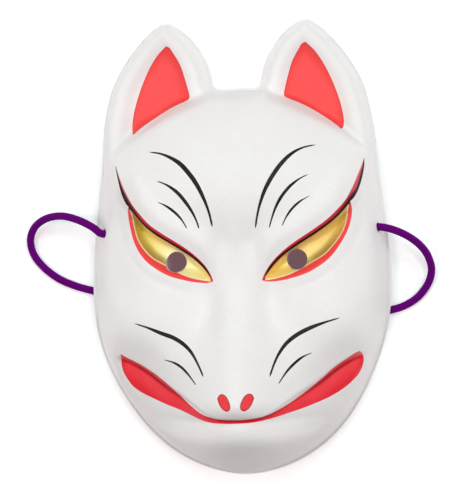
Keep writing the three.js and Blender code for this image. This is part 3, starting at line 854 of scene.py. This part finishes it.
def tube_object(name, tubes):
    """One object of some tubes, whose runs and turns its finish reads."""
    points, tube_faces, runs, turns = zip(*tubes)
    faces, start = [], 0
    for places, corners in zip(points, tube_faces):
        faces += [[k + start for k in face] for face in corners]
        start += len(places)
    made = mesh_object(name, np.vstack(points), faces)
    attribute(made.data, "run", np.concatenate(runs))
    attribute(made.data, "turn", np.concatenate(turns))
    shade_smooth(made.data)
    return made


# The cord runs straight through each hole, from the wall's inner side to a little past its outer one.
route = [cord_holes["left"].axis_point(out) for out in (-WALL, 1.5)]
route += CORD_ROUTE
route += [cord_holes["right"].axis_point(out) for out in (1.5, -WALL)]
cord_line = even_line(route, 40, CORD_RING_SPACING)
cord = tube_object("braided_cord", [tube(cord_line, CORD_RADIUS, CORD_POINTS_ROUND, strands)])


def knot(name, hole):
    """An overhand knot pulled tight, with the cord going in and a short cut end."""
    middle = hole.axis_point(-WALL - KNOT_GAP - KNOT_LENGTH / 2)
    t = np.linspace(0, 2 * math.pi, 90)
    u = KNOT_SPREAD * (np.sin(t) + 2 * np.sin(2 * t))
    v = KNOT_SPREAD * (np.cos(t) - 2 * np.cos(2 * t))
    w = -KNOT_DEPTH * np.sin(3 * t)
    loop = middle + np.outer(u, hole.across) + np.outer(v, hole.up) + np.outer(w, hole.out)
    going_in = np.linspace(hole.axis_point(-WALL - 0.3), middle + 0.4 * hole.out, 12)
    cut_tip = middle - CUT_END_LENGTH * hole.out + 0.6 * hole.across
    cut_end = np.linspace(middle, cut_tip, 14)
    pieces = ((loop, KNOT_STRAND_RADIUS), (going_in, 1.5), (cut_end, 1.3))
    return tube_object(name, [tube(path, radius, KNOT_POINTS_ROUND) for path, radius in pieces])


knots = {name: knot("knot_" + name, hole) for name, hole in cord_holes.items()}


# Materials


def srgb(*levels):
    """The linear colour of three levels from 0 to 255."""
    shares = [level / 255 for level in levels]
    return (*(v / 12.92 if v <= 0.04045 else ((v + 0.055) / 1.055) ** 2.4 for v in shares), 1.0)


class Finish:
    """One node material, built from a few kinds of nodes."""

    def __init__(self, name, roughness, specular, **sockets):
        self.material = bpy.data.materials.new(name)
        self.material.use_nodes = True
        self.tree = self.material.node_tree
        self.shader = self.tree.nodes["Principled BSDF"]
        sockets |= {"Roughness": roughness, "Specular_IOR_Level": specular}
        for key, value in sockets.items():
            self.shader.inputs[key.replace("_", " ")].default_value = value
        self.place = self.node("TexCoord").outputs["Object"]

    def node(self, kind):
        return self.tree.nodes.new("ShaderNode" + kind)

    def join(self, value, socket):
        """Links a socket to another, or sets it to a number, a linear colour or three levels."""
        if isinstance(value, bpy.types.NodeSocket):
            self.tree.links.new(value, socket)
        elif isinstance(value, tuple) and len(value) == 3:
            socket.default_value = srgb(*value)
        else:
            socket.default_value = value

    def to(self, key, value):
        self.join(value, self.shader.inputs[key])

    def paint(self, colour):
        self.to("Base Color", colour)

    def field(self, name):
        """A value kept at the mesh's points."""
        made = self.node("Attribute")
        made.attribute_name = name
        return made.outputs["Fac"]

    def noise(self, scale, detail=3.0, roughness=0.55, stretch=None):
        made = self.node("TexNoise")
        for key, value in (("Scale", scale), ("Detail", detail), ("Roughness", roughness)):
            made.inputs[key].default_value = value
        where = self.place
        if stretch:
            moved = self.node("Mapping")
            moved.inputs["Scale"].default_value = stretch
            self.join(where, moved.inputs["Vector"])
            where = moved.outputs["Vector"]
        self.join(where, made.inputs["Vector"])
        return made.outputs["Fac"]

    def is_right(self):
        """1 on the right half of the mask and 0 on the left."""
        parts = self.node("SeparateXYZ")
        self.join(self.place, parts.inputs[0])
        return self.spread(parts.outputs["X"], -0.01, 0.01)

    def math(self, operation, a, b=0.0):
        made = self.node("Math")
        made.operation = operation
        self.join(a, made.inputs[0])
        self.join(b, made.inputs[1])
        return made.outputs[0]

    def times(self, a, b):
        return self.math("MULTIPLY", a, b)

    def spread(self, value, low, high, to_low=0.0, to_high=1.0):
        """A smooth step of the value from low to high."""
        made = self.node("MapRange")
        made.interpolation_type = "SMOOTHSTEP"
        for socket, given in zip(made.inputs, (value, low, high, to_low, to_high)):
            self.join(given, socket)
        return made.outputs[0]

    def mottle(self, scale, detail=3.0, roughness=0.55):
        return self.spread(self.noise(scale, detail, roughness), 0.3, 0.7)

    def mix(self, factor, a, b):
        made = self.node("Mix")
        made.data_type = "RGBA"
        self.join(factor, made.inputs[0])
        self.join(a, made.inputs[6])
        self.join(b, made.inputs[7])
        return made.outputs[2]

    def ramp(self, value, stops):
        made = self.node("ValToRGB")
        self.join(value, made.inputs[0])
        items = made.color_ramp.elements
        while len(items) < len(stops):
            items.new(0.5)
        for item, (position, *levels) in zip(items, stops):
            item.position = position
            item.color = srgb(*levels)
        return made.outputs[0]

    def bump(self, height, distance, strength=1.0):
        made = self.node("Bump")
        made.inputs["Strength"].default_value = strength
        made.inputs["Distance"].default_value = distance
        self.join(height, made.inputs["Height"])
        self.to("Normal", made.outputs["Normal"])


def brushed(finish, colour, deep, amount=0.35):
    """Hand-laid paint: broad thicker and thinner places with a fine streak."""
    streak = finish.spread(finish.noise(900, 3, 0.6, (1, 0.12, 1)), 0.35, 0.7)
    both = finish.times(finish.math("ADD", finish.mottle(60, 4), streak), amount * 0.5)
    finish.bump(streak, 0.00003, 0.5)
    return finish.mix(both, colour, deep)


def shell_finish():
    f = Finish("white_lacquer", 0.5, 0.28)
    broad = f.spread(f.noise(22, 4, 0.6), 0.3, 0.75)
    fine = f.spread(f.noise(420, 4, 0.6), 0.35, 0.75)
    tone = f.mix(broad, (240, 239, 238), (236, 234, 233))
    f.paint(f.mix(f.times(fine, 0.35), tone, (233, 230, 229)))
    f.to("Roughness", f.spread(f.noise(130, 3), 0.3, 0.7, 0.44, 0.56))
    f.bump(f.math("ADD", f.noise(700, 4, 0.6), f.times(f.noise(90, 2), 3.0)), 0.00005, 0.5)
    return f


def ear_finish():
    f = Finish("ear_red", 0.5, 0.3)
    colour = brushed(f, (246, 74, 73), (240, 66, 66))
    edge = f.spread(f.field("inside_ear"), 0.1, 0.8)
    f.paint(f.mix(edge, (228, 62, 64), colour))
    return f


def lid_finish():
    f = Finish("eyelid_red_and_black", 0.5, 0.14)
    above = f.field("above_lid")
    outward = f.field("outward")
    band = f.field("below_band")
    crimson = brushed(f, (204, 44, 58), (182, 34, 50))
    is_right = f.is_right()
    dusky = f.mix(f.spread(band, 0.0, 1.5), (236, 178, 184), (150, 58, 70))
    rosy = f.mix(f.spread(band, 0.0, 0.7), (236, 150, 156), (204, 78, 88))
    crimson = f.mix(f.spread(outward, 55, 61), crimson, f.mix(is_right, dusky, rosy))
    # The black fills this share of the band's width: most of it on the left wing, less on the right.
    whole = f.math("ADD", above, band)
    left_black = f.spread(outward, 58, 65, 0.7, 0.55)
    right_black = f.spread(outward, 58, 63, 0.6, 0.12)
    more_left = f.math("SUBTRACT", left_black, right_black)
    kept_left = f.times(more_left, f.math("SUBTRACT", 1.0, is_right))
    wing_black = f.times(whole, f.math("ADD", right_black, kept_left))
    wider = f.times(f.math("SUBTRACT", wing_black, 0.8), f.spread(outward, 50, 58))
    share = f.math("DIVIDE", above, f.math("ADD", wider, 0.8))
    black = f.mix(f.mottle(300), (24, 8, 8), (46, 16, 16))
    maroon = f.mix(f.spread(share, 0.9, 1.5), (130, 20, 32), crimson)
    tone = f.mix(f.spread(share, 0.6, 1.1), black, maroon)
    tone = f.mix(f.spread(outward, 65.2, 66.4), tone, black)
    f.paint(f.mix(f.spread(outward, 13.4, 16.4), (214, 40, 50), tone))
    return f


def gold_finish():
    f = Finish("eye_gold", 0.42, 0.4, Metallic=0.12)
    outward = f.field("outward")
    wobble = f.times(f.math("SUBTRACT", f.noise(140, 3), 0.5), 6.0)
    along = f.math("DIVIDE", f.math("SUBTRACT", f.math("ADD", outward, wobble), 12.0), 48.0)
    # Tones along each eye: the gold's own, with a painted highlight across the left eye's middle where
    # the metallic paint catches the light.
    left = f.ramp(along, [
        (0.0, 255, 240, 166), (0.25, 255, 250, 190), (0.5, 255, 250, 190),
        (0.68, 255, 238, 148), (0.8, 238, 220, 108), (0.9, 214, 190, 82),
        (1.0, 228, 184, 104),
    ])
    right = f.ramp(along, [
        (0.0, 250, 226, 130), (0.25, 252, 230, 142), (0.5, 248, 226, 138),
        (0.66, 250, 224, 132), (0.8, 246, 218, 122), (1.0, 246, 212, 128),
    ])
    tone = f.mix(f.is_right(), left, right)
    above_red = f.field("above_red")
    to_lid = f.times(f.field("above_lid"), -1.0)
    height = f.math("DIVIDE", above_red, f.math("ADD", f.math("ADD", above_red, to_lid), 0.01))
    # Painted shade: darker low in the outer half of the eye, where the socket turns away from the
    # light, and a little darker under the lid, in its shadow
    low = f.times(f.spread(height, 0.05, 0.5, 1.0, 0.0), f.spread(outward, 32, 42))
    low = f.times(low, f.spread(outward, 46, 56, 0.85, 0.3))
    tone = f.mix(low, tone, (158, 114, 50))
    high = f.times(f.spread(height, 0.55, 1.0), 0.3)
    tone = f.mix(high, tone, (222, 182, 98))
    # A cream line beside the red band, a painted highlight where the lower lid's edge catches the
    # light, and a dark one under the lid, partly black paint and partly painted shadow of the lid
    cream_highlight_line = f.spread(above_red, 0.4, 0.8, 1.0, 0.0)
    tone = f.mix(f.times(cream_highlight_line, 0.9), tone, (255, 242, 208))
    line = f.spread(to_lid, 0.15, 0.6, 1.0, 0.0)
    tone = f.mix(line, tone, (44, 20, 8))
    f.paint(f.mix(f.spread(outward, 14.0, 14.8), (222, 50, 56), tone))
    f.bump(f.noise(600, 3), 0.00003, 0.4)
    return f


def lower_lid_finish():
    f = Finish("lower_lid_red", 0.48, 0.3)
    colour = brushed(f, (247, 70, 70), (234, 58, 61))
    line = f.spread(f.math("ABSOLUTE", f.field("above_lid")), 0.3, 0.9, 1.0, 0.0)
    line = f.times(line, f.spread(f.field("outward"), 30, 40))
    f.paint(f.mix(line, colour, (60, 14, 14)))
    return f


def mouth_finish():
    f = Finish("lip_red", 0.46, 0.32)
    above = f.field("above_crease")
    outward = f.field("outward")
    low = brushed(f, (242, 40, 55), (230, 30, 46))
    # The upper lip's steep side is painted paler than the lower lip: painted light that lifts the shade
    # it lies in.
    high = f.mix(f.mottle(180, 4), (238, 94, 101), (228, 80, 89))
    tone = f.mix(f.spread(above, 0.4, 2.2), low, high)
    # Painted shade: a dark crimson line along the crease between the lips, fading out towards the
    # corners.
    deep = f.spread(f.math("ABSOLUTE", f.math("ADD", above, -0.3)), 0.2, 1.6, 1.0, 0.0)
    fade = f.spread(outward, 54, 63, 0.85, 0.0)
    f.paint(f.mix(f.times(deep, fade), tone, (190, 12, 34)))
    return f


def nostril_finish():
    f = Finish("nostril_red", 0.5, 0.3)
    colour = brushed(f, (236, 56, 62), (222, 46, 54))
    edge = f.spread(f.field("inside_nostril"), 0.1, 0.9)
    f.paint(f.mix(edge, (184, 40, 48), colour))
    return f


def ink_finish():
    f = Finish("brush_ink", 0.6, 0.1)
    f.paint(brushed(f, (24, 22, 21), (58, 55, 53), 0.9))
    return f


def shaded_inside_finish():
    f = Finish("shaded_mauve_inside", 0.7, 0.2)
    # Painted shade: a dim mauve all over the inside, which darkens and tints the light in the hollow
    # that shows through the pupils.
    mottle = f.mottle(70, 5, 0.6)
    f.paint(f.mix(mottle, (158, 122, 128), (142, 106, 113)))
    f.bump(f.noise(500, 4), 0.0001, 0.6)
    return f


def cord_finish():
    f = Finish("purple_braid", 0.85, 0.03, Sheen_Weight=0.02, Sheen_Roughness=0.5)
    turns = f.times(f.field("turn"), YARNS)
    twist = f.times(f.field("run"), YARN_TWIST)
    one = f.math("COSINE", f.math("ADD", turns, twist))
    two = f.math("COSINE", f.math("SUBTRACT", turns, twist))
    over = f.times(one, two)
    # The sunken places between the yarns are painted darker, as painted shade.
    yarn_and_gap_shade = f.mix(f.spread(over, -0.7, 0.6), (84, 0, 96), (114, 4, 132))
    fibre = f.mottle(2600, 3, 0.6)
    f.paint(f.mix(f.times(fibre, 0.5), yarn_and_gap_shade, (98, 6, 112)))
    f.bump(f.noise(2600, 3, 0.6), 0.00008, 0.6)
    return f


# One finish for each name in PAINTED, in the same order
makers = [shell_finish, ear_finish, lid_finish, gold_finish, lower_lid_finish]
makers += [mouth_finish, nostril_finish, ink_finish, shaded_inside_finish]
for make in makers:
    mask.data.materials.append(make().material)
braid = cord_finish().material
for piece in (cord, knots["left"], knots["right"]):
    piece.data.materials.append(braid)

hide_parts("mask_shell")
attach(mask, "root")
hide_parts("cord")
for name, piece in knots.items():
    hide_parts("cord_knot_" + name)
for piece in (cord, *knots.values()):
    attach(piece, "root")


# Floor, light and camera

FLOOR_REACH = 2500
FLOOR_HEIGHT = -0.2
FLOOR_GLOW = 0.24
UNDER_MASK = (12.5, 8, 0)  # 1 over the half width and half length, in metres, of the dim place there
LIT_POINT = (0, 0, 0.03)


def floor_finish():
    """A pale sheet that glows a little, in white round the mask and in a dim red under it."""
    f = Finish("pale_floor", 0.9, 0.1)
    soft = f.mottle(8)
    f.paint(f.mix(soft, (253, 253, 253), (251, 251, 251)))
    scaled = f.node("VectorMath")
    scaled.operation = "MULTIPLY"
    f.join(f.place, scaled.inputs[0])
    scaled.inputs[1].default_value = UNDER_MASK
    reach = f.node("VectorMath")
    reach.operation = "LENGTH"
    f.join(scaled.outputs[0], reach.inputs[0])
    beyond = f.spread(reach.outputs["Value"], 0.8, 1.0)
    f.to("Emission Color", f.mix(beyond, (0.5, 0.3, 0.34, 1), (1, 1, 1, 1)))
    f.to("Emission Strength", FLOOR_GLOW)
    return f


corners = FLOOR_REACH * np.array([(-1, -1), (1, -1), (1, 1), (-1, 1)])
floor = mesh_object("floor", [(*corner, FLOOR_HEIGHT) for corner in corners], [(0, 1, 2, 3)])
floor.data.materials.append(floor_finish().material)


def soft_light(name, place, size, power, colour):
    """A square light that shines at the mask, in metres and watts."""
    lamp = bpy.data.lights.new(name, "AREA")
    lamp.shape = "SQUARE"
    lamp.size = size
    lamp.energy = power
    lamp.color = colour
    made = add_object(name, lamp)
    made.location = place
    made.rotation_euler = (Vector(LIT_POINT) - Vector(place)).to_track_quat("-Z", "Y").to_euler()


# The two front lights stand apart, so that little light falls straight through the pupils.
for name, away in (("front_light_left", -0.62), ("front_light_right", 0.62)):
    soft_light(name, (away, 0.05, 1.65), 0.3, 6.9, (1, 0.89, 0.87))
soft_light("upper_light", (0.0, 0.8, 1.6), 0.6, 8.9, (0.66, 0.98, 1))
soft_light("top_light", (0.0, 1.3, 0.7), 0.8, 2.6, (1, 0.8, 0.78))
soft_light("side_light_left", (-1.2, 0.1, 0.8), 0.8, 6.1, (1, 0.9, 0.9))
soft_light("side_light_right", (1.2, 0.1, 0.8), 0.8, 6.6, (1, 0.935, 0.945))
world = bpy.data.worlds.new("soft_room")
world.use_nodes = True
tree = world.node_tree


def background(node, colour, strength):
    node.inputs["Color"].default_value = (*colour, 1)
    node.inputs["Strength"].default_value = strength
    return node.outputs[0]


# The far background is pale where it is looked at, past the floor's edge, and hardly lights the mask.
dim_room = background(tree.nodes["Background"], (1, 0.965, 0.95), 0.02)
pale_distance = background(tree.nodes.new("ShaderNodeBackground"), (1, 1, 1), 0.9)
looked_at = tree.nodes.new("ShaderNodeLightPath").outputs["Is Camera Ray"]
either = tree.nodes.new("ShaderNodeMixShader")
for value, socket in zip((looked_at, dim_room, pale_distance), either.inputs):
    tree.links.new(value, socket)
tree.links.new(either.outputs[0], tree.nodes["World Output"].inputs["Surface"])
scene.world = world
scene.view_settings.view_transform = "Standard"

# The photograph's frame and the mask's middle in it, in pixels, and how the view is turned
VIEW_WIDTH, VIEW_HEIGHT = 466, 500
MIDDLE_X, MIDDLE_Y = 242, 247
PIXELS_PER_MM = 1.812
CAMERA_DISTANCE = 900.0
SENSOR_WIDTH = 36
YAW = math.radians(-4.3)
ROLL = math.radians(1.36)
turned = Matrix.Rotation(ROLL, 3, "Z") @ Matrix.Rotation(YAW, 3, "Y")
lens = bpy.data.cameras.new("camera")
lens.sensor_width = SENSOR_WIDTH
lens.lens = PIXELS_PER_MM * CAMERA_DISTANCE * SENSOR_WIDTH / VIEW_HEIGHT
lens.shift_x = (VIEW_WIDTH / 2 - MIDDLE_X) / VIEW_HEIGHT
lens.shift_y = (MIDDLE_Y - VIEW_HEIGHT / 2) / VIEW_HEIGHT
lens.clip_start = 0.01
camera = add_object("camera", lens)
facing = turned.transposed()
camera_place = facing @ Vector((0, 0, CAMERA_DISTANCE * MM))
camera.matrix_world = Matrix.Translation(camera_place) @ facing.to_4x4()
scene.camera = camera
